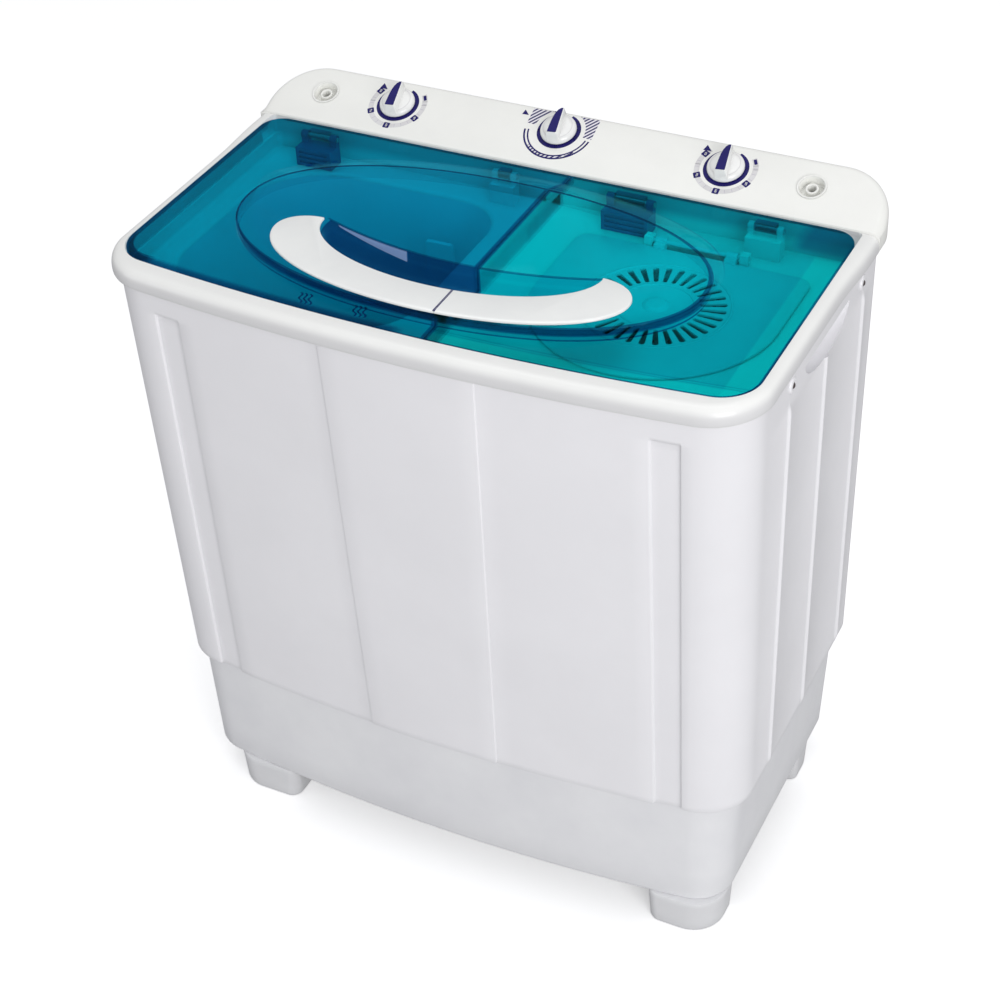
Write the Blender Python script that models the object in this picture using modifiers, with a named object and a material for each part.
"""Twin tub washing machine: wash tub on the left, spinner on the right.

Frame: origin on the floor under the middle of the cabinet, +Z up, -Y towards the
user, +X to the user's right.  Sizes are in millimetres; MM turns them into metres
when a mesh is made.
"""
from collections import namedtuple
from math import acos, atan, atan2, copysign, cos, hypot, pi, radians, sin, tan

import bmesh
import bpy
from mathutils import Matrix, Vector

MM = 0.001

# ---------------------------------------------------------------- driving sizes
# heights
Z_BASE = 45.5            # underside of the base, top of the feet
Z_CAB = 194.0            # lower edge of the cabinet
Z_CAB_TOP = 715.6        # top edge of the cabinet, under the rim
Z_RIM_LOW = 716.0        # lower edge of the rim band
Z_RIM = 736.8            # top of the rim
Z_FLOOR = 699.0          # deck floor under the lids
Z_LID = 738.0            # top of the lid field
Z_SKIRT = 717.3          # lower edge of the lid skirt
Z_PLATEAU = 751.0        # top of the raised oval on the lids
Z_HANDLE = 754.4         # top of the white handle
CAB_TAPER = 517.0        # height over which the cabinet widens

# plan outlines: half width, y of the front corners, bow of the front, rear y,
# radii of the front and rear corners
Plan = namedtuple("Plan", "half_width front bow rear front_r rear_r")
BASE_LOW = Plan(332.0, -177.0, 24.0, 176.0, 46.0, 36.0)
BASE_TOP = Plan(338.0, -179.0, 24.0, 184.0, 52.0, 36.0)
CAB_LOW = Plan(349.0, -184.0, 24.0, 190.0, 58.0, 36.0)
CAB_TOP = Plan(352.5, -199.0, 24.0, 201.5, 56.0, 40.0)
RIM = Plan(364.0, -212.0, 24.0, 212.0, 66.0, 60.0)
DECK_UNDER = Plan(347.0, -193.0, 24.0, 195.5, 50.0, 34.0)
LID = Plan(346.0, -185.0, 22.0, 131.0, 42.0, 26.0)
RIM_REAR = 134.4         # the rim ends here, in front of the console

# lid hinges
HINGE_Y, HINGE_Z = 120.0, 729.0
PIN_R, PIN_HOLE_R = 2.8, 3.15
# x ranges of the navy block and of the stand moulded on the deck
HINGES = {"wash": ((-300.0, -256.0), (-62.0, -34.0)), "spin": ((72.0, 125.0), (230.0, 268.0))}

# hinge of the spinner's inner lid: axis, and x ranges of the posts and of the ears
INNER_HINGE_Y, INNER_HINGE_Z = 91.0, 706.5
INNER_POSTS = ((128, 137), (233, 242))
INNER_EARS = ((140, 152), (218, 230))

# plan centres
WASH_CENTRE = (-178.0, -32.0)
SPIN_CENTRE = (185.0, -18.0)
MOTOR_CENTRE = (-12.0, 78.0)

# ---------------------------------------------------------------- scene and materials
for old_object in list(bpy.data.objects):
    bpy.data.objects.remove(old_object, do_unlink=True)
for old_mesh in list(bpy.data.meshes):
    bpy.data.meshes.remove(old_mesh)

parts = bpy.data.collections.new("twin_tub_washer")
bpy.context.scene.collection.children.link(parts)


def material(name, rgb, roughness, metallic=0.0, alpha=1.0, transmission=0.0):
    mat = bpy.data.materials.new(name)
    mat.use_nodes = True
    inputs = mat.node_tree.nodes["Principled BSDF"].inputs
    inputs["Base Color"].default_value = (*rgb, 1.0)
    inputs["Roughness"].default_value = roughness
    inputs["Metallic"].default_value = metallic
    inputs["Alpha"].default_value = alpha
    inputs["Transmission Weight"].default_value = transmission
    mat.diffuse_color = (*rgb, alpha)
    return mat


CABINET_WHITE = material("cabinet_white", rgb=(0.80, 0.80, 0.82), roughness=0.35)
BASE_WHITE = material("base_white", rgb=(0.70, 0.70, 0.72), roughness=0.5)
DECK_WHITE = material("deck_white", rgb=(0.85, 0.85, 0.83), roughness=0.3)
TUB_WHITE = material("tub_white", rgb=(0.82, 0.84, 0.86), roughness=0.35)
LID_TEAL = material("lid_teal", rgb=(0.0, 0.36, 0.42), roughness=0.1, alpha=0.45, transmission=0.8)
HANDLE_WHITE = material("handle_white", rgb=(0.88, 0.88, 0.86), roughness=0.3)
NAVY = material("navy_plastic", rgb=(0.03, 0.03, 0.16), roughness=0.4)
STEEL = material("steel", rgb=(0.6, 0.6, 0.62), roughness=0.35, metallic=1.0)
RUBBER = material("black_rubber", rgb=(0.03, 0.03, 0.03), roughness=0.7)
GREY = material("grey_plastic", rgb=(0.35, 0.36, 0.38), roughness=0.5)
MOTOR_PAINT = material("motor_paint", rgb=(0.25, 0.26, 0.28), roughness=0.45, metallic=0.6)
PULSATOR_BLUE = material("pulsator_blue", rgb=(0.35, 0.55, 0.75), roughness=0.35)


# ---------------------------------------------------------------- mesh helpers
# Shapes made without a name and material are tools for cut() and join(), which use them up.
def add_object(name, mesh, mat):
    ob = bpy.data.objects.new(name, mesh)
    if mat:
        mesh.materials.append(mat)
    parts.objects.link(ob)
    return ob


def finish(bm, name, mat):
    """Finish a bmesh given in millimetres as a named object in metres."""
    bmesh.ops.remove_doubles(bm, verts=bm.verts, dist=0.0005)
    bmesh.ops.recalc_face_normals(bm, faces=bm.faces)
    mesh = bpy.data.meshes.new(name)
    bm.to_mesh(mesh)
    bm.free()
    mesh.transform(Matrix.Scale(MM, 4))
    return add_object(name, mesh, mat)


def weld(mesh, dist):
    """Merge vertices closer than dist (metres) and turn the faces outwards."""
    bm = bmesh.new()
    bm.from_mesh(mesh)
    bmesh.ops.remove_doubles(bm, verts=bm.verts, dist=dist)
    bmesh.ops.recalc_face_normals(bm, faces=bm.faces)
    bm.to_mesh(mesh)
    bm.free()


def evaluated_mesh(ob):
    bpy.context.view_layer.update()
    depsgraph = bpy.context.evaluated_depsgraph_get()
    return bpy.data.meshes.new_from_object(ob.evaluated_get(depsgraph))


def bake(ob):
    """Replace an object's mesh with its evaluated one and drop the modifiers."""
    mats = list(ob.data.materials)
    mesh = evaluated_mesh(ob)
    ob.modifiers.clear()
    ob.data = mesh
    mesh.materials.clear()
    for mat in mats:
        mesh.materials.append(mat)


def boolean(ob, tool, operation):
    mod = ob.modifiers.new("boolean", "BOOLEAN")
    mod.operation = operation
    mod.solver = "EXACT"
    mod.object = tool
    bake(ob)
    bpy.data.objects.remove(tool, do_unlink=True)


def cut(ob, *tools):
    for tool in tools:
        boolean(ob, tool, "DIFFERENCE")
    return ob


def join(ob, *tools):
    for tool in tools:
        boolean(ob, tool, "UNION")
    return ob


def smooth(ob, angle=32.0):
    ob.data.shade_smooth()
    ob.data.set_sharp_from_angle(angle=radians(angle))
    return ob


def set_origin(ob, place):
    """Move the origin to a place in millimetres and leave the shape where it is."""
    offset = Vector(place) * MM
    ob.data.transform(Matrix.Translation(-offset))
    ob.location = offset
    return ob


def turn_about(ob, centre, angle):
    """Turn a shape made round the origin about Z, then carry it to a plan centre."""
    shift = Matrix.Translation((centre[0] * MM, centre[1] * MM, 0))
    ob.data.transform(shift @ Matrix.Rotation(angle, 4, "Z"))
    return ob


# ---------------------------------------------------------------- solids
def prism(points, z0, z1, name="tool", mat=None):
    """A flat outline pushed up from z0 to z1."""
    bm = bmesh.new()
    face = bm.faces.new([bm.verts.new((x, y, z0)) for x, y in points])
    for item in bmesh.ops.extrude_face_region(bm, geom=[face])["geom"]:
        if isinstance(item, bmesh.types.BMVert):
            item.co.z = z1
    return finish(bm, name, mat)


def loft(rings, name="tool", mat=None, caps=True):
    """Walls through a stack of outlines of equal count: edges pushed up ring by ring."""
    bm = bmesh.new()
    previous = [bm.verts.new(point) for point in rings[0]]
    count = len(previous)
    edges = [bm.edges.new((previous[i], previous[(i + 1) % count])) for i in range(count)]
    if caps:
        bm.faces.new(previous)
    for ring in rings[1:]:
        above = {}
        for item in bmesh.ops.extrude_edge_only(bm, edges=edges)["geom"]:
            if not isinstance(item, bmesh.types.BMFace):
                continue
            corners = list(item.verts)
            for low in [v for v in corners if v in previous]:
                for edge in low.link_edges:
                    other = edge.other_vert(low)
                    if other in corners and other not in previous:
                        above[low] = other
        current = [above[low] for low in previous]
        for vert, point in zip(current, ring):
            vert.co = point
        edges = [bm.edges.get((current[i], current[(i + 1) % count])) for i in range(count)]
        previous = current
    if caps:
        bm.faces.new(previous)
    return finish(bm, name, mat)


def ring_solid(outer, inner, name, mat):
    """A tube with outer rings going up and inner rings coming down, closed at both ends."""
    ob = loft(outer + inner, name, mat, caps=False)
    bm = bmesh.new()
    bm.from_mesh(ob.data)
    bmesh.ops.bridge_loops(bm, edges=[e for e in bm.edges if e.is_boundary])
    bmesh.ops.recalc_face_normals(bm, faces=bm.faces)
    bm.to_mesh(ob.data)
    bm.free()
    return ob


def box(low, high, name="tool", mat=None):
    bpy.ops.mesh.primitive_cube_add(size=1.0)
    ob = bpy.context.active_object
    ob.name = name
    centre = [(a + b) / 2 * MM for a, b in zip(low, high)]
    size = [(b - a) * MM for a, b in zip(low, high)]
    ob.data.transform(Matrix.Translation(centre) @ Matrix.Diagonal((*size, 1.0)))
    if mat:
        ob.data.materials.append(mat)
    for collection in list(ob.users_collection):
        collection.objects.unlink(ob)
    parts.objects.link(ob)
    return ob


def cyl(centre, r, start, end, n=24, axis="Z", top_r=None, name="tool", mat=None):
    """A cylinder or cone frustum along an axis, from start to end on that axis.

    centre holds the other two coordinates in the order x, y, z."""
    bm = bmesh.new()
    bmesh.ops.create_cone(bm, cap_ends=True, segments=n, radius1=r,
                          radius2=r if top_r is None else top_r, depth=end - start)
    mid = (start + end) / 2
    if axis == "Z":
        place = Matrix.Translation((*centre, mid))
    elif axis == "X":
        place = Matrix.Translation((mid, *centre)) @ Matrix.Rotation(radians(90), 4, "Y")
    else:
        place = (Matrix.Translation((centre[0], mid, centre[1]))
                 @ Matrix.Rotation(radians(-90), 4, "X"))
    bmesh.ops.transform(bm, matrix=place, verts=bm.verts)
    return finish(bm, name, mat)


def hinge_cyl(r, x0, x1):
    """A tool cylinder on the axis of the lid hinges."""
    return cyl((HINGE_Y, HINGE_Z), r, x0, x1, 16, "X")


def ellipsoid(centre, radii):
    bm = bmesh.new()
    bmesh.ops.create_uvsphere(bm, u_segments=20, v_segments=12, radius=1.0)
    place = Matrix.Translation(centre) @ Matrix.Diagonal((*radii, 1.0))
    bmesh.ops.transform(bm, matrix=place, verts=bm.verts)
    return finish(bm, "tool", None)


def turned(centre, profile, steps, name, mat):
    """A profile of (radius, z) turned about a vertical axis through a plan centre."""
    count = len(profile)
    edges = [(i, i + 1) for i in range(count - 1)]
    if profile[0][0] != 0 or profile[-1][0] != 0:
        edges.append((count - 1, 0))
    mesh = bpy.data.meshes.new(name)
    mesh.from_pydata([(r * MM, 0, z * MM) for r, z in profile], edges, [])
    ob = add_object(name, mesh, mat)
    screw = ob.modifiers.new("turn", "SCREW")
    screw.steps = screw.render_steps = steps
    screw.use_merge_vertices = True
    screw.merge_threshold = 0.00001
    screw.use_smooth_shade = True
    bake(ob)
    weld(ob.data, 0.000001)
    ob.data.transform(Matrix.Translation((centre[0] * MM, centre[1] * MM, 0)))
    return ob


def tube(points, r, name, mat):
    """A round bar along a polyline, as a bevelled curve turned into a mesh."""
    curve = bpy.data.curves.new(name, "CURVE")
    curve.dimensions = "3D"
    curve.bevel_depth = r * MM
    curve.bevel_resolution = 1
    curve.use_fill_caps = True
    spline = curve.splines.new("POLY")
    spline.points.add(len(points) - 1)
    for spline_point, (x, y, z) in zip(spline.points, points):
        spline_point.co = (x * MM, y * MM, z * MM, 1)
    path = bpy.data.objects.new(name + "_path", curve)
    parts.objects.link(path)
    mesh = evaluated_mesh(path)
    weld(mesh, 0.00001)
    mesh.materials.clear()
    bpy.data.objects.remove(path, do_unlink=True)
    return add_object(name, mesh, mat)


# ---------------------------------------------------------------- outlines
def lerp(a, b, t):
    return a + (b - a) * t


def mix(low, high, t):
    return Plan(*(lerp(a, b, t) for a, b in zip(low, high)))


def inset(plan, d):
    return Plan(plan.half_width - d, plan.front + d, plan.bow, plan.rear - d,
                max(plan.front_r - d, 1.0), max(plan.rear_r - d, 1.0))


def arc(centre, rx, ry, start, end, steps, ends=True):
    """Points on an elliptic arc, with or without its two end points."""
    skip = 0 if ends else 1
    angles = [start + (end - start) * i / steps for i in range(skip, steps + 1 - skip)]
    return [(centre[0] + rx * cos(a), centre[1] + ry * sin(a)) for a in angles]


def flat(_):
    return 0.0


def outline(plan, front_steps=7, rear_steps=6, front_x=(), side_y=(),
            front_relief=flat, side_relief=flat):
    """Counter-clockwise: bowed front, straight sides and rear, four rounded corners.

    front_x and side_y add points on the front and the sides; the relief functions
    push them outwards."""
    half_width, front, bow, rear, front_r, rear_r = plan

    def front_y(x):
        return front - bow * (1 - (x / half_width) ** 2)

    # the corner arc starts where it is tangent to the bow, at slope angle beta
    tangent_x = half_width - front_r
    for _ in range(4):
        beta = atan(2 * bow * tangent_x / half_width ** 2)
        tangent_x = half_width - front_r + front_r * sin(beta)
    corner = (half_width - front_r, front_y(tangent_x) + front_r * cos(beta))
    front_x = front_x or [round(tangent_x * i / 5, 4) for i in range(1, 5)]
    half = [(x, front_y(x) - front_relief(x)) for x in front_x]
    half += arc(corner, front_r, front_r, -pi / 2 + beta, 0.0, front_steps)
    half += [(half_width + side_relief(y), y) for y in side_y]
    half += arc((half_width - rear_r, rear - rear_r), rear_r, rear_r, 0.0, pi / 2, rear_steps)
    return half + [(-x, y) for x, y in reversed(half)]


def circle(centre, r, count):
    angles = [2 * pi * i / count for i in range(count)]
    return [(centre[0] + r * cos(a), centre[1] + r * sin(a)) for a in angles]


def rounded(x0, y0, x1, y1, r, steps=5):
    """A rounded rectangle; r is one radius or four (front left, front right, rear right,
    rear left)."""
    radii = r if isinstance(r, tuple) else (r,) * 4
    # corner x, y and the direction from it towards the middle
    corners = ((x0, y0, 1, 1), (x1, y0, -1, 1), (x1, y1, -1, -1), (x0, y1, 1, -1))
    points = []
    for i, ((x, y, to_x, to_y), radius) in enumerate(zip(corners, radii)):
        start = pi + pi / 2 * i
        centre = (x + to_x * radius, y + to_y * radius)
        points += arc(centre, radius, radius, start, start + pi / 2, steps)
    return points


def clip_x(points, x0, side):
    """The part of an outline left (side -1) or right (side 1) of the line x = x0."""
    kept = []
    for i, here in enumerate(points):
        after = points[(i + 1) % len(points)]
        here_in = side * (here[0] - x0) >= 0
        after_in = side * (after[0] - x0) >= 0
        if here_in:
            kept.append(here)
        if here_in != after_in:
            t = (x0 - here[0]) / (after[0] - here[0])
            kept.append((x0, lerp(here[1], after[1], t)))
    return kept


def lift(points, z):
    return [(x, y, z) for x, y in points]


def circle_rings(centre, stations, count):
    """Rings of (radius, z) about a plan centre."""
    return [lift(circle(centre, r, count), z) for r, z in stations]


# ================================================================ cabinet
CAB_WALL = 4.5
PANEL_RAISE = 1.8                # raised middle panel of the front
STRIP = (259.0, 289.0)           # x range of the sunk strips near the front corners
STRIP_DEPTH = 3.2
RIB_Y = (-87.6, 16.6, 129.6)     # upright ribs on the sides
RIB_RAISE = 2.6
# z, with strips, with ribs
CAB_STATIONS = (
    (Z_CAB, True, False), (Z_CAB + 8, True, True), (664, True, True), (672, True, False),
    (684, True, False), (688, False, False), (Z_CAB_TOP, False, False),
)
# hand grips under the rim on both sides
GRIP_CENTRE = (352, 19, 690)
GRIP_RADII = (21, 65, 27)
GRIP_WALL = 4
GRIP_FACE = 349.6                # outer limit of the shell in x
GRIP_TOP = 693.2
COVER_Z = 430                    # middle of the back cover


def cabinet_plan(z):
    return mix(CAB_LOW, CAB_TOP, min(max((z - Z_CAB) / CAB_TAPER, 0.0), 1.0))


def cabinet_ring(z, strips=True, ribs=True, wall=0.0):
    """Outline of the cabinet at height z; with a wall it is inset and plain."""
    panel = 77.6 + 7.7 * (z - Z_CAB) / CAB_TAPER   # half width of the middle panel
    strip_in, strip_out = STRIP
    front_x = [panel * 0.45, panel - 1.2, panel + 0.6, 0.62 * (panel + strip_in),
               strip_in - 1.0, strip_in + 1.0, strip_out - 1.0, strip_out + 1.0]
    side_y = [y + dy for y in RIB_Y for dy in (-5, -2, 2, 5)]

    def front_relief(x):
        if x < panel:
            return PANEL_RAISE
        return -STRIP_DEPTH if strips and strip_in < x < strip_out else 0.0

    def side_relief(y):
        return RIB_RAISE if ribs and any(abs(y - rib) < 3 for rib in RIB_Y) else 0.0

    if wall:
        front_relief = side_relief = flat
    plan = inset(cabinet_plan(z), wall)
    return lift(outline(plan, front_x=front_x, side_y=side_y,
                        front_relief=front_relief, side_relief=side_relief), z)


def add_grip(cabinet, side):
    """A half-lens scoop with its own shell bulging into the cabinet."""
    x, y, z = GRIP_CENTRE
    centre = (side * x, y, z)
    shell = ellipsoid(centre, [r + GRIP_WALL for r in GRIP_RADII])
    x0, x1 = sorted((side * GRIP_FACE, side * 500))
    cut(shell, box((x0, -200, 500), (x1, 200, 900)))
    cut(shell, box((-500, -200, GRIP_TOP), (500, 200, 900)))
    join(cabinet, shell)
    scoop = ellipsoid(centre, GRIP_RADII)
    cut(scoop, box((-500, -200, z), (500, 200, 900)))
    cut(cabinet, scoop)


def build_cabinet():
    outer = [cabinet_ring(*station) for station in CAB_STATIONS]
    inner = [cabinet_ring(z, wall=CAB_WALL) for z in (Z_CAB_TOP, Z_CAB)]
    cabinet = ring_solid(outer, inner, "cabinet", CABINET_WHITE)
    for side in (1, -1):
        add_grip(cabinet, side)
    # service opening at the back
    cut(cabinet, box((-235, 150, 262), (235, 260, 598)))
    # cord hole
    cut(cabinet, cyl((-285, 232), 5.5, 160, 260, 12, "Y"))
    smooth(cabinet)
    # hose hole, cut last so that its wall keeps flat shading
    cut(cabinet, cyl((59, 220), 13.5, 150, 230, 18, "Y"))


def build_back_cover():
    """A vented plate that leans with the cabinet's back."""
    cover = box((-250, 0.5, -185), (250, 3.0, 185), "back_cover", GREY)
    for i in range(6):
        z = 70 + 12 * i
        cut(cover, box((-60, -2, z), (60, 6, z + 5)))
    lean = atan((CAB_TOP.rear - CAB_LOW.rear) / CAB_TAPER)
    place = Matrix.Translation((0, cabinet_plan(COVER_Z).rear * MM, COVER_Z * MM))
    cover.data.transform(place @ Matrix.Rotation(-lean, 4, "X"))


def build_side_screws():
    # side, y, z
    places = ((1, -83, 692), (1, 124, 686), (-1, -83, 692), (-1, 124, 686))
    profile = [(0, 2.6), (2.6, 2.4), (4.2, 1.4), (4.4, 0.0), (0, 0.0)]
    for i, (side, y, z) in enumerate(places):
        head = turned((0, 0), profile, 16, f"side_screw_{i + 1}", STEEL)
        x = side * (cabinet_plan(z).half_width + 0.45)
        place = Matrix.Translation((x * MM, y * MM, z * MM))
        head.data.transform(place @ Matrix.Rotation(radians(90 * side), 4, "Y"))
        smooth(head)


# ================================================================ base and feet
BASE_WALL = 4.0
Z_TONGUE = Z_CAB + 12            # top of the tongue that stands inside the cabinet
TONGUE_INSET = 6.6
# name: x0, y0, x1, y1, corner radii
FEET = {
    "foot_front_right": (246, -189, 329, -124, (14, 38, 10, 10)),
    "foot_front_left": (-296, -190, -207, -124, (34, 14, 10, 10)),
    "foot_rear_right": (246, 78, 329, 140, (10, 10, 30, 12)),
    "foot_rear_left": (-329, 78, -246, 140, (10, 10, 12, 30)),
}


def build_base():
    # plan, z: up the outside, over the tongue and down the inside
    tongue = cabinet_plan(Z_TONGUE)
    stations = (
        (BASE_LOW, Z_BASE),
        (mix(BASE_LOW, BASE_TOP, 0.97), 189.5),
        (BASE_TOP, 193.2),
        (inset(CAB_LOW, TONGUE_INSET), 193.5),
        (inset(tongue, TONGUE_INSET), Z_TONGUE),
        (inset(tongue, TONGUE_INSET + BASE_WALL), Z_TONGUE),
        (inset(BASE_TOP, BASE_WALL), 190.0),
        (inset(BASE_LOW, BASE_WALL), Z_BASE + 4.5),
    )
    base = loft([lift(outline(plan), z) for plan, z in stations], "base_frame", BASE_WHITE)
    # round openings under the two motors
    cut(base, cyl(SPIN_CENTRE, 45, 20, 60, 28), cyl(MOTOR_CENTRE, 45, 20, 60, 28))
    smooth(base)


def build_feet():
    for name, (x0, y0, x1, y1, radii) in FEET.items():
        edge_radii = tuple(r * 0.9 for r in radii)
        edge = rounded(x0 + 5, y0 + 4, x1 - 6, y1 - 4.5, edge_radii)
        low = rounded(x0 + 2.5, y0 + 1.5, x1 - 3.5, y1 - 2, radii)
        top = rounded(x0, y0, x1, y1, radii)
        rings = [lift(edge, 0.0), lift(low, 3.5), lift(top, Z_BASE - 0.35)]
        smooth(loft(rings, name, BASE_WHITE))


# ================================================================ top deck
# inset, z of the rim band
RIM_STATIONS = ((2.5, Z_RIM_LOW), (0, 719), (0, 722.5), (1.2, 727), (4.2, 731.8),
                (8.5, 735.3), (13.0, Z_RIM))
LID_GAP = 0.9            # play of the lids in their pocket
LID_LEDGE = 4.0          # ledge round the deck floor
THROUGH_DECK = (600, 760)
WASH_OPENING = rounded(-318, -165, -38, 102, (70, 60, 55, 85), 7)
SPIN_OPENING_R = 121


def hinge_stand(x0, x1, ear, y0, z0, name="tool", mat=None):
    """A stand on the deck floor with two round ears that carry the hinge pin."""
    rear, top = 123.4, 721.0
    stand = box((x0, y0, z0), (x1, rear, top), name, mat)
    for a, b in ((x0, x0 + ear), (x1 - ear, x1)):
        join(stand, box((a, 116.2, top - 3), (b, rear, HINGE_Z)))
        join(stand, hinge_cyl(4.9, a, b))
    return cut(stand, hinge_cyl(PIN_HOLE_R, x0 - 5, x1 + 5))


def build_deck():
    """Rim, deck floor, lid pocket, hinge stands and posts in one piece."""
    rings = [lift(outline(inset(RIM, d), rear_steps=1), z) for d, z in RIM_STATIONS]
    deck = loft(rings, "top_deck", DECK_WHITE)
    # the console takes the place of the rim behind the lids
    cut(deck, box((-500, RIM_REAR, 600), (600, 400, 900)))
    join(deck, prism(outline(DECK_UNDER), 695.0, 717.0))
    # shelf under the console
    join(deck, prism(rounded(-346.6, 118.0, 346.6, 194.5, (1, 1, 36, 36)), 700.0, 731.0))
    cut(deck, box((-400, 141.0, 723.0), (400, 300, 900)))
    # the pocket is square at the rear so that the lids' corners swing clear
    pocket = LID._replace(half_width=LID.half_width + LID_GAP, front=LID.front - LID_GAP,
                          rear=RIM_REAR, rear_r=5.0)
    well = pocket._replace(half_width=pocket.half_width - LID_LEDGE,
                           front=pocket.front + LID_LEDGE, front_r=pocket.front_r - LID_LEDGE)
    for plan, z in ((pocket, Z_RIM_LOW), (well, Z_FLOOR)):
        cut(deck, prism(outline(plan, front_steps=8, rear_steps=3), z, 760))
    # room for the timers behind the lids
    cut(deck, prism(rounded(-318, 140, 318, 188, 6, 2), *THROUGH_DECK))
    # openings of the two tubs
    cut(deck, prism(WASH_OPENING, *THROUGH_DECK))
    cut(deck, cyl(SPIN_CENTRE, SPIN_OPENING_R, *THROUGH_DECK, 48))
    for _, (x0, x1) in HINGES.values():
        join(deck, hinge_stand(x0, x1, 6.0, 108.0, Z_FLOOR - 1.0))
    # posts for the spinner's inner lid
    for x0, x1 in INNER_POSTS:
        post = box((x0, INNER_HINGE_Y - 5, Z_FLOOR - 1), (x1, INNER_HINGE_Y + 5, INNER_HINGE_Z + 5))
        cut(post, cyl((INNER_HINGE_Y, INNER_HINGE_Z), 2.8, x0 - 5, x1 + 5, 14, "X"))
        join(deck, post)
    smooth(deck)


def build_hinges():
    """The navy hinge blocks, and a pin through every block and stand."""
    for key, (block, stand) in HINGES.items():
        smooth(hinge_stand(*block, 8.0, 101.0, Z_FLOOR + 0.4, key + "_hinge_block", NAVY))
        for tag, (x0, x1) in (("left", block), ("right", stand)):
            smooth(cyl((HINGE_Y, HINGE_Z), PIN_R, x0 - 1.5, x1 + 1.5, 16, "X",
                       name=f"{key}_hinge_pin_{tag}", mat=STEEL))


# ================================================================ twin tub
WASH_FLOOR = 240.0
TUB_TOP = 694.6
# grow, z, taper: up the outside and down the inside
WASH_TUB_STATIONS = (
    (-24, WASH_FLOOR - 4, 1), (-8, WASH_FLOOR, 1), (3, WASH_FLOOR + 16, 0.97), (3.2, TUB_TOP, 0),
    (0, TUB_TOP, 0), (0, WASH_FLOOR + 18, 0.97), (-11, WASH_FLOOR + 4, 1), (-26, WASH_FLOOR, 1),
)
# radius, z: up the outside and down the inside
SPIN_TUB_STATIONS = ((128, 232), (137, 242), (137, TUB_TOP), (134, TUB_TOP), (134, 244), (126, 236))


def tub_ring(grow, z, taper):
    """Outline of the wash tub; taper goes from 0 at the top to 1 at the floor."""
    points = rounded(-319 + 18 * taper, -166 + 15 * taper, -37 - 18 * taper, 103 - 15 * taper,
                     (70 - 10 * taper, 60 - 5 * taper, 55, 84 - 20 * taper), 6)
    cx, cy = WASH_CENTRE
    ring = []
    for x, y in points:
        arm = Vector((x - cx, y - cy))
        arm = arm * (1 + grow / arm.length)
        ring.append((cx + arm.x, cy + arm.y, z))
    return ring


def build_twin_tub():
    tub = loft([tub_ring(*station) for station in WASH_TUB_STATIONS], "twin_tub", TUB_WHITE)
    spin_tub = loft(circle_rings(SPIN_CENTRE, SPIN_TUB_STATIONS, 40))
    flange = prism(rounded(-325, -186, 325, 128, 52, 6), 688.6, 694.5)
    cut(flange, prism([(x, y) for x, y, _ in tub_ring(1.2, 0, 0)], *THROUGH_DECK))
    cut(flange, cyl(SPIN_CENTRE, 135.5, *THROUGH_DECK, 40))
    join(tub, flange)
    join(tub, spin_tub)
    # holes for the pulsator bearing and the spinner shaft
    cut(tub, cyl(WASH_CENTRE, 22, 200, 300), cyl(SPIN_CENTRE, 30, 200, 300))
    smooth(tub)


def build_tub_fittings():
    """Overflow cover and lint filter at the rear wall of the wash tub."""
    smooth(box((-132, 80.5, 300), (-98, 87.0, 650), "overflow_cover", DECK_WHITE))
    lint = loft([lift(rounded(-230, 70, -160, 76, 2, 2), 330),
                 lift(rounded(-236, 68, -154, 80, 3, 2), 520)], "lint_filter", NAVY)
    cut(lint, box((-222, 60, 350), (-168, 74, 500)))
    smooth(lint)


# ================================================================ console
CONSOLE_FRONT = 134.8
CONSOLE_TILT = radians(22.0)
CONSOLE_Z = 738.3        # face height at CONSOLE_FRONT
# x, distance up the slope from the front edge of the face
DIALS = {"wash_timer": (-208.0, 45.0), "drain_selector": (-13.0, 51.0), "spin_timer": (182.0, 45.0)}
INLETS = {"wash": (-299.0, 42.0), "spin": (277.0, 42.5)}
# radius, height above the face
KNOB_PROFILE = [(0, 8.6), (14, 8.4), (18.4, 6.8), (19.9, 4.4), (20.2, 0.8), (4.0, 0.8),
                (3.5, -14.0), (0, -14.0)]
INLET_PROFILE = [
    (15.6, 1.4), (15.9, 0.35), (13.9, 0.35), (13.9, -22.0), (7.0, -24.0), (7.0, -30.0),
    (4.6, -30.0), (4.6, -2.6), (5.6, -1.6), (7.0, -2.4), (7.2, -9.0), (12.3, -9.6),
    (12.9, -2.0), (13.8, 1.2),
]


def console_outline(d, front=0.0):
    """The rear part of the rim outline inset by d, its front edge moved back by front."""
    half_width, rear, r = RIM.half_width - d, RIM.rear - d, RIM.rear_r - d
    y = CONSOLE_FRONT + front
    half = [(half_width, y), (half_width, CONSOLE_FRONT + 8)]
    half += arc((half_width - r, rear - r), r, r, 0.0, pi / 2, 10)
    mirrored = [(-x, y) for x, y in reversed(half)]
    return [(0.0, y)] + half + [(0.0, rear)] + mirrored


def console_ring(d, drop, front, floor):
    """A ring lying in the sloping face lowered by drop, but never below floor."""
    slope = tan(CONSOLE_TILT)
    return [(x, y, max(CONSOLE_Z + (y - CONSOLE_FRONT) * slope - drop, floor))
            for x, y in console_outline(d, front)]


def face_point(x, up):
    """A point on the console face: x across, up the slope from its front edge."""
    return (x, CONSOLE_FRONT + up * cos(CONSOLE_TILT), CONSOLE_Z + up * sin(CONSOLE_TILT))


def on_console(ob, place):
    """Carry a shape made round the origin to a place on the console face."""
    shift = Matrix.Translation(Vector(face_point(*place)) * MM)
    ob.data.transform(shift @ Matrix.Rotation(CONSOLE_TILT, 4, "X"))
    return ob


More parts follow.
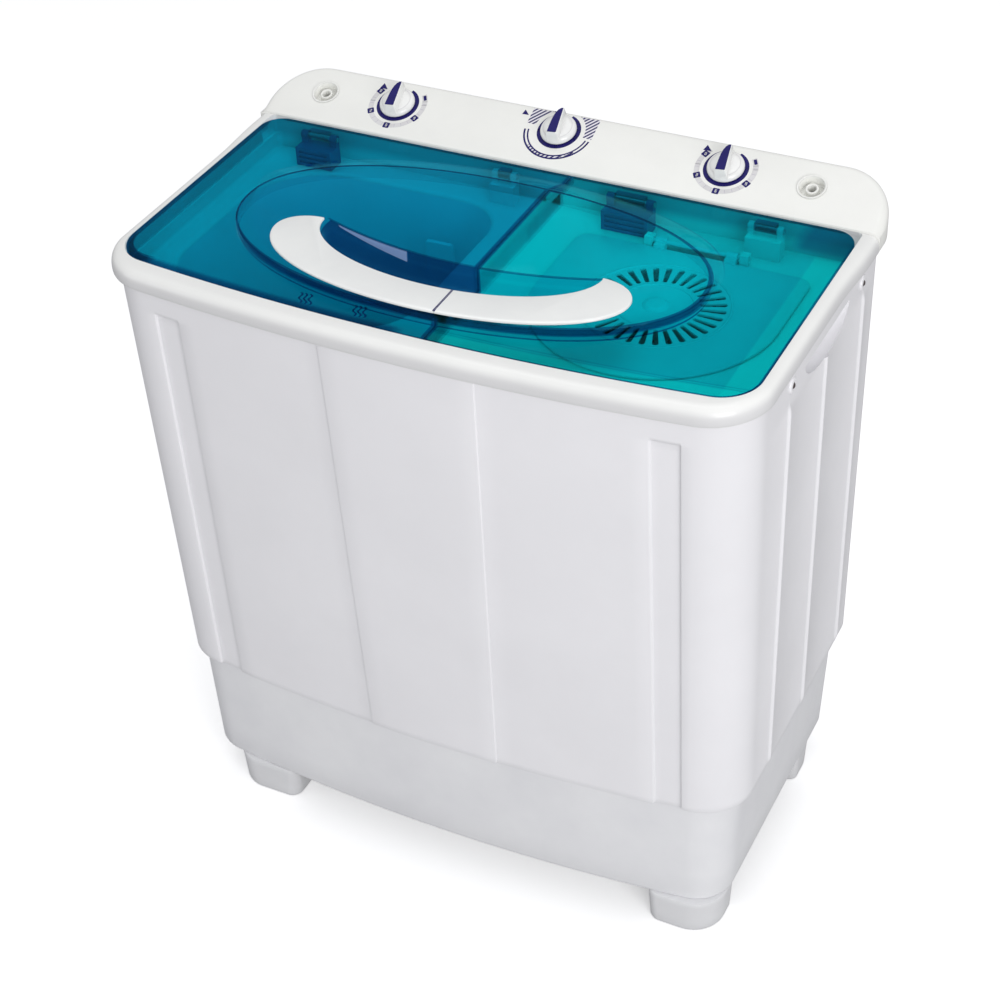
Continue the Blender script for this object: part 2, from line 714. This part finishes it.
def build_console():
    console = loft([
        lift(console_outline(2.0), Z_RIM_LOW + 0.4),
        lift(console_outline(0.0), 719.4),
        console_ring(0.0, 11.0, 0.0, 735.6),
        console_ring(1.2, 6.0, 0.0, 736.4),
        console_ring(4.5, 2.0, 0.0, 737.0),
        console_ring(9.5, 0.0, 0.6, 0.0),
    ], "console_housing", DECK_WHITE)
    cavity = loft([
        lift(console_outline(3.6, 4.0), 700.0),
        lift(console_outline(3.6, 4.0), 724.0),
        console_ring(4.0, 14.0, 4.0, 725.0),
        console_ring(9.0, 4.2, 4.0, 726.0),
    ])
    cut(console, cavity)
    # room for the deck's shelf
    cut(console, box((-347.4, 100, 600), (347.4, 197, 731.4)))
    for place in DIALS.values():
        cut(console, on_console(cyl((0, 0), 6.0, -20, 20, 16), place))
    for place in INLETS.values():
        cut(console, on_console(cyl((0, 0), 14.4, -20, 20, 18), place))
    smooth(console)


def build_dial(name, place):
    """A timer or selector body under the face and its knob above it."""
    body = box((-22, -18, -30), (22, 8, -8), name, GREY)
    join(body, cyl((0, 0), 9, -10, -5.2, 20))
    cut(body, cyl((0, 0), 4.0, -20, 0, 16))
    smooth(on_console(body, place))

    knob = turned((0, 0), KNOB_PROFILE, 22, name + "_knob", HANDLE_WHITE)
    # half width, half length, corner radius, height of the grip bar
    grip = ((7.2, 19.5, 5.5, 5.0), (5.2, 18.5, 4.6, 17.0), (4.0, 17.2, 3.6, 18.6))
    join(knob, loft([lift(rounded(-w, -l, w, l, r, 3), z) for w, l, r, z in grip]))
    knob.data.transform(Matrix.Rotation(radians(6.0), 4, "Z"))
    on_console(knob, place)
    smooth(set_origin(knob, face_point(*place)))


def build_console_fittings():
    for name, place in DIALS.items():
        build_dial(name, place)
    # water inlets: a dished ring with a spigot in the middle
    for key, place in INLETS.items():
        port = turned((0, 0), INLET_PROFILE, 18, key + "_inlet_port", DECK_WHITE)
        smooth(on_console(port, place))


# ================================================================ lids
LID_WALL = 2.5
SEAM_X = 25.0            # line where the two lids meet
SEAM_GAP = 0.45          # each lid stays this far from the line
RECESS_Z = 724.0         # floor of the finger recess
KNUCKLE_R = 5.0


def lid_oval(shrink=0.0):
    """The raised oval, a superellipse."""
    cx, cy, power, count = -10.0, -48.0, 2.15, 48
    rx, ry = 262.0 - shrink, 137.0 - shrink
    points = []
    for i in range(count):
        a = 2 * pi * i / count + 0.03
        c, s = cos(a), sin(a)
        points.append((cx + rx * copysign(abs(c) ** (2 / power), c),
                       cy + ry * copysign(abs(s) ** (2 / power), s)))
    return points


def handle_outline():
    """Crescent: left end, front edge, right end, then the inner edge back to the left."""
    return (arc((-161, -100), 40, 31, pi / 2, pi, 6)
            + arc((-4, -100), 197, 84, pi, 2 * pi, 30, ends=False)
            + arc((151, -100), 42, 33, 0.0, pi / 2, 6)
            + arc((-5, -68), 156, 75.5, 0.0, -pi, 26, ends=False))


def recess_outline(grow=0.0):
    """The finger recess behind the handle; it runs on under the handle."""
    far_edge = []
    for i in range(17):  # right to left
        x = 146 - 300 * i / 16
        far_edge.append((x * (1 + grow / 160), -94.5 + 27 * ((x + 4) / 152) ** 2 + grow))
    return far_edge + arc((-4, -71), 151 + grow, 82 + grow, pi, 2 * pi, 20, ends=False)


def build_lid(key, side):
    """One lid and its half of the handle; side is -1 left of the seam and 1 right of it."""
    seam = SEAM_X + side * SEAM_GAP
    seam_inner = seam + side * LID_WALL
    hinge = (0, HINGE_Y, HINGE_Z)

    field = clip_x(outline(LID, 8, 8), seam, side)
    lid = prism(field, Z_SKIRT, Z_LID, key + "_lid", LID_TEAL)
    join(lid, prism(clip_x(lid_oval(), seam, side), 725, Z_PLATEAU))
    # hollow underside, open at the rear
    hollow = inset(LID, LID_WALL)._replace(rear=LID.rear + 12.0)
    cut(lid, prism(clip_x(outline(hollow, 8, 8), seam_inner, side), 700, Z_LID - LID_WALL))
    cut(lid, prism(clip_x(lid_oval(LID_WALL), seam_inner, side), 700, Z_PLATEAU - LID_WALL))
    # finger recess: a trough hung from the oval, cut on past the seam
    trough = clip_x(recess_outline(LID_WALL), seam, side)
    join(lid, prism(trough, RECESS_Z - LID_WALL, Z_PLATEAU - 1.0))
    cut(lid, prism(clip_x(recess_outline(), seam - side * 5, side), RECESS_Z, 780))
    # the skirt stops short of the hinge line
    cut(lid, box((-400, 103.0, 700), (400, 150, 728.5)))
    # knuckles between the ears of the block and of the stand
    for (x0, x1), end in zip(HINGES[key], (9.5, 7.5)):
        knuckle = box((x0 + end, HINGE_Y - 4.2, HINGE_Z), (x1 - end, HINGE_Y + 4.2, 737.0))
        join(knuckle, hinge_cyl(KNUCKLE_R, x0 + end, x1 - end))
        cut(knuckle, hinge_cyl(PIN_HOLE_R, x0, x1))
        join(lid, knuckle)
    smooth(set_origin(lid, hinge))

    half_handle = clip_x(handle_outline(), SEAM_X + side * SEAM_GAP * 0.6, side)
    handle = prism(half_handle, Z_PLATEAU + 0.35, Z_HANDLE, key + "_lid_handle", HANDLE_WHITE)
    smooth(set_origin(handle, hinge))


# ================================================================ inner lid of the spinner
PLATE_RX, PLATE_RY = 129, 127    # round front of the plate
PLATE_REAR, PLATE_CORNER_R = 85.2, 16
PLATE_Z = Z_FLOOR + 0.5
SLOTS = 32


def slot_comb():
    """All radial slots as one tool."""
    slots = []
    for i in range(SLOTS):
        slot = box((45, -2.8, 690), (71, 2.8, 720))
        slots.append(turn_about(slot, SPIN_CENTRE, 2 * pi * i / SLOTS))
    bm = bmesh.new()
    for slot in slots:
        bm.from_mesh(slot.data)
    bm.to_mesh(slots[0].data)
    bm.free()
    for slot in slots[1:]:
        bpy.data.objects.remove(slot, do_unlink=True)
    return slots[0]


def build_inner_lid():
    """A D-shaped plate, round at the front; its pin stubs turn in two posts of the deck."""
    cx = SPIN_CENTRE[0]
    r = PLATE_CORNER_R
    outline_d = (arc(SPIN_CENTRE, PLATE_RX, PLATE_RY, pi, 2 * pi, 28)
                 + arc((cx + PLATE_RX - r, PLATE_REAR - r), r, r, 0.0, pi / 2, 3)
                 + arc((cx - PLATE_RX + r, PLATE_REAR - r), r, r, pi / 2, pi, 3))
    lid = prism(outline_d, PLATE_Z, PLATE_Z + 2.5, "spin_inner_lid", DECK_WHITE)
    join(lid, cyl(SPIN_CENTRE, 14, Z_FLOOR + 1.0, Z_FLOOR + 6.0, top_r=10))
    cut(lid, slot_comb())
    axis = (INNER_HINGE_Y, INNER_HINGE_Z)
    for x0, x1 in INNER_EARS:
        ear = box((x0, 82.0, PLATE_Z), (x1, *axis))
        join(ear, cyl(axis, 4.2, x0, x1, 14, "X"))
        join(lid, ear)
    join(lid, cyl(axis, 2.4, 134, 236, 14, "X"))
    smooth(set_origin(lid, (0, *axis)))


# ================================================================ wash side drive
BIG_R, SMALL_R = 74.0, 18.0      # groove radii of the pulleys
FLANGE = 5                       # pulley flange beyond the groove
PULSATOR_R = 112.0
BELT_Z = (145.5, 153.0)
BELT_INNER, BELT_OUTER = 1.6, 7  # beyond the groove radii; the inner face clears the facets
BEARING_PROFILE = [(8.5, 244.5), (21.3, 244.5), (21.3, 234.8), (62, 234.8), (62, 229),
                   (34, 225), (30, 172), (14, 168), (8.5, 168)]
PULSATOR_PROFILE = [
    (0, 276), (13.6, 276), (30, 268), (70, 256), (104, 253), (PULSATOR_R, 249),
    (PULSATOR_R - 2, 246.5), (60, 247), (24, 248), (10, 247), (8.4, 247), (8.4, 257), (0, 257),
]
PULSATOR_SCREW_PROFILE = [(0, 274.4), (7, 274), (8.6, 272.2), (8.6, 270.5), (2.4, 270.5),
                          (2.4, 257.5), (0, 257.5)]
WASH_MOTOR_PROFILE = [(0, 132), (10, 132), (30, 131), (36, 126), (56, 124), (58, 120),
                      (58, 68), (54, 63), (30, 60), (0, 60)]


def build_pulsator():
    smooth(turned(WASH_CENTRE, BEARING_PROFILE, 20, "bearing_housing", MOTOR_PAINT))
    smooth(cyl(WASH_CENTRE, 8.0, 134, 256, 20, name="pulsator_shaft", mat=STEEL))
    origin = (*WASH_CENTRE, 250)
    pulsator = turned(WASH_CENTRE, PULSATOR_PROFILE, 28, "pulsator", PULSATOR_BLUE)
    for i in range(4):
        fin = loft([lift(rounded(20, -9, 100, 9, 8, 3), 250.2),
                    lift(rounded(26, -4, 88, 4, 3.5, 3), 272)])
        join(pulsator, turn_about(fin, WASH_CENTRE, pi / 2 * i + 0.3))
    # counterbore and hole for the screw
    cut(pulsator, cyl(WASH_CENTRE, 10.5, 270, 300, 20), cyl(WASH_CENTRE, 2.8, 250, 300, 12))
    smooth(set_origin(pulsator, origin))
    screw = turned(WASH_CENTRE, PULSATOR_SCREW_PROFILE, 20, "pulsator_screw", STEEL)
    smooth(set_origin(screw, origin))


def groove(r):
    """Belt groove of a pulley between its two flanges, from the top down."""
    rim = r + FLANGE
    return [(rim, 158.5), (rim, 156), (r, 154.2), (r, 144.3), (rim, 142.5), (rim, 140.0)]


def build_wash_motor():
    big_profile = ([(8.4, 160), (16, 160), (16, 156)] + groove(BIG_R)
                   + [(16, 144), (16, 138), (8.4, 138)])
    small_profile = [(6.4, 162), (12, 162), (12, 158.5)] + groove(SMALL_R) + [(6.4, 140.0)]
    origin = (*MOTOR_CENTRE, 150)
    big = turned(WASH_CENTRE, big_profile, 28, "pulsator_pulley", GREY)
    smooth(set_origin(big, (*WASH_CENTRE, 150)))
    small = turned(MOTOR_CENTRE, small_profile, 18, "wash_motor_pulley", GREY)
    smooth(set_origin(small, origin))
    shaft = cyl(MOTOR_CENTRE, 6.0, 104, 164, 18, name="wash_motor_shaft", mat=STEEL)
    smooth(set_origin(shaft, origin))
    motor = turned(MOTOR_CENTRE, WASH_MOTOR_PROFILE, 24, "wash_motor", MOTOR_PAINT)
    cut(motor, cyl(MOTOR_CENTRE, 6.4, 100, 150, 18))
    smooth(motor)


def belt_loop(beyond, z):
    """Outline round both pulleys: two arcs joined by their common tangents."""
    r1, r2 = BIG_R + beyond, SMALL_R + beyond
    dx = MOTOR_CENTRE[0] - WASH_CENTRE[0]
    dy = MOTOR_CENTRE[1] - WASH_CENTRE[1]
    heading = atan2(dy, dx)
    spread = acos((r1 - r2) / hypot(dx, dy))
    points = arc(WASH_CENTRE, r1, r1, heading + spread, heading - spread + 2 * pi, 14)
    points += arc(MOTOR_CENTRE, r2, r2, heading - spread, heading + spread, 14)
    return lift(points, z)


def build_belt():
    low, high = BELT_Z
    smooth(ring_solid([belt_loop(BELT_OUTER, low), belt_loop(BELT_OUTER, high)],
                      [belt_loop(BELT_INNER, high), belt_loop(BELT_INNER, low)],
                      "drive_belt", RUBBER))


# ================================================================ spinner drive
BASKET_R = 116.0
MOUNT_R = 74             # the motor mounts stand on this circle
SPIN_MOTOR_PROFILE = [(0, 160), (12, 160), (34, 158), (40, 152), (60, 150), (62, 146),
                      (62, 82), (58, 76), (30, 72), (0, 72)]
MOUNT_PROFILE = [(0, 83.5), (9, 83.5), (11, 76), (8, 70), (11, 62), (14, 50.4), (0, 50.4)]
DRUM_PROFILE = [(7.9, 190), (38, 190), (38, 172), (30, 172), (28, 184), (14, 184),
                (14, 166), (7.9, 166)]
SEAL_PROFILE = [(7.9, 246), (13, 246), (16, 240), (40, 239.5), (40, 236.6), (29.2, 236.4),
                (28, 226), (20, 222), (20, 214), (14, 210), (7.9, 210)]
# radius, z: up the outside, over the rim, down the inside and up the middle cone
BASKET_STATIONS = (
    (92, 256), (110, 264), (BASKET_R, 640), (BASKET_R + 4, 644), (BASKET_R + 4, 668),
    (BASKET_R - 12, 668), (BASKET_R - 12, 650), (BASKET_R - 3, 641), (107, 267), (60, 262),
    (40, 300),
)


def build_spin_motor():
    motor = turned(SPIN_CENTRE, SPIN_MOTOR_PROFILE, 24, "spin_motor", MOTOR_PAINT)
    cut(motor, cyl(SPIN_CENTRE, 7.9, 130, 180, 20))
    for i in range(3):
        a = radians(90 + 120 * i)
        join(motor, turn_about(box((52, -9, 84), (82, 9, 90)), SPIN_CENTRE, a))
        centre = (SPIN_CENTRE[0] + MOUNT_R * cos(a), SPIN_CENTRE[1] + MOUNT_R * sin(a))
        smooth(turned(centre, MOUNT_PROFILE, 12, f"spin_motor_mount_{i + 1}", RUBBER))
    smooth(motor)


def build_spinner():
    shaft = cyl(SPIN_CENTRE, 7.5, 134, 290, 20, name="spin_shaft", mat=STEEL)
    smooth(set_origin(shaft, (*SPIN_CENTRE, 200)))
    drum = turned(SPIN_CENTRE, DRUM_PROFILE, 22, "brake_drum", STEEL)
    smooth(set_origin(drum, (*SPIN_CENTRE, 180)))
    smooth(turned(SPIN_CENTRE, SEAL_PROFILE, 18, "spin_seal", RUBBER))
    basket = loft(circle_rings(SPIN_CENTRE, BASKET_STATIONS, 30), "spin_basket", TUB_WHITE)
    cut(basket, cyl(SPIN_CENTRE, 7.8, 240, 291, 20))
    smooth(set_origin(basket, (*SPIN_CENTRE, 300)))


def build_brake_lever():
    """A bar beside the drum with a round pivot eye at its rear end."""
    pivot = (236.5, 44)
    lever = box((233, -32, 174), (240, pivot[1], 188), "brake_lever", STEEL)
    join(lever, cyl(pivot, 9, 174, 188, 18))
    cut(lever, cyl(pivot, 3.2, 160, 200, 12))
    smooth(set_origin(lever, (*pivot, 181)))


# ================================================================ drain, cord, electrics
VALVE_CENTRE = (60.0, 110.0)
VALVE_PROFILE = [(15.2, 238), (20, 238), (24, 232), (24, 176), (20, 170), (6, 170), (6, 178),
                 (15.2, 182)]
VALVE_PLUG_PROFILE = [(0, 262), (4, 262), (4, 236), (13.5, 234), (14.4, 226), (13.5, 200),
                      (8, 184), (0, 184)]
HOSE_Y = 227.36          # the hose bows this far out behind the back
# x, y, z along the middle of the hose, from the valve
HOSE_PATH = [
    (60, 135.6, 190), (60, 144, 190), (60, 151, 194), (60, 155, 202), (60, 158, 212),
    (60, 166, 219), (60, 178, 220), (57, 200, 220), (50, 216, 217), (38, HOSE_Y - 1.0, 210),
    (22, HOSE_Y, 200), (4, HOSE_Y - 2.0, 188), (-20, 219, 172), (-50, 211, 156),
    (-90, 204.5, 144), (-130, 201.5, 140), (-212, 201.5, 140),
]
CORD_Y = 206.5           # the cord hangs here behind the back
# x, y, z along the middle of the cord, from inside the cabinet
CORD_PATH = [
    (-285, 160, 232), (-285, 198, 232), (-285, 204, 229), (-285, CORD_Y, 222),
    (-285, CORD_Y, 120), (-284, CORD_Y, 104), (-278, CORD_Y, 92), (-268, CORD_Y, 86),
    (-256, CORD_Y, 90), (-250, CORD_Y, 100), (-250, CORD_Y, 108),
]


def build_drain():
    valve = turned(VALVE_CENTRE, VALVE_PROFILE, 18, "drain_valve_body", GREY)
    # outlet towards the back
    x, y = VALVE_CENTRE
    cut(valve, cyl((x, 190), 9.0, y + 12, y + 60, 16, "Y"))
    smooth(valve)
    plug = turned(VALVE_CENTRE, VALVE_PLUG_PROFILE, 16, "drain_valve_plug", RUBBER)
    smooth(set_origin(plug, (x, y, 210)))
    smooth(tube(HOSE_PATH, 9.0, "drain_hose", GREY), 60)


def build_cord():
    smooth(tube(CORD_PATH, 3.2, "power_cord", RUBBER), 60)
    body = rounded(-262, 197, -238, 214, 5, 2)
    plug = loft([lift(rounded(-256, 201, -244, 212, 3, 2), 108.5), lift(body, 116),
                 lift(body, 136)], "power_plug", RUBBER)
    for x in (-255, -245):
        join(plug, cyl((x, 205.5), 2.2, 134, 152, 10))
    smooth(plug)


def build_electrics():
    smooth(box((-120, 130, 62), (-70, 152, 100), "run_capacitor", GREY))
    switch = box((128, 144.5, 700), (150, 160, 726), "lid_switch", GREY)
    join(switch, box((134, 150, 722), (144, 153, 733)))
    smooth(switch)


# ================================================================ the whole machine
build_cabinet()
build_back_cover()
build_side_screws()
build_base()
build_feet()
build_deck()
build_hinges()
build_twin_tub()
build_tub_fittings()
build_console()
build_console_fittings()
build_lid("wash", -1)
build_lid("spin", 1)
build_inner_lid()
build_pulsator()
build_wash_motor()
build_belt()
build_spin_motor()
build_spinner()
build_brake_lever()
build_drain()
build_cord()
build_electrics()
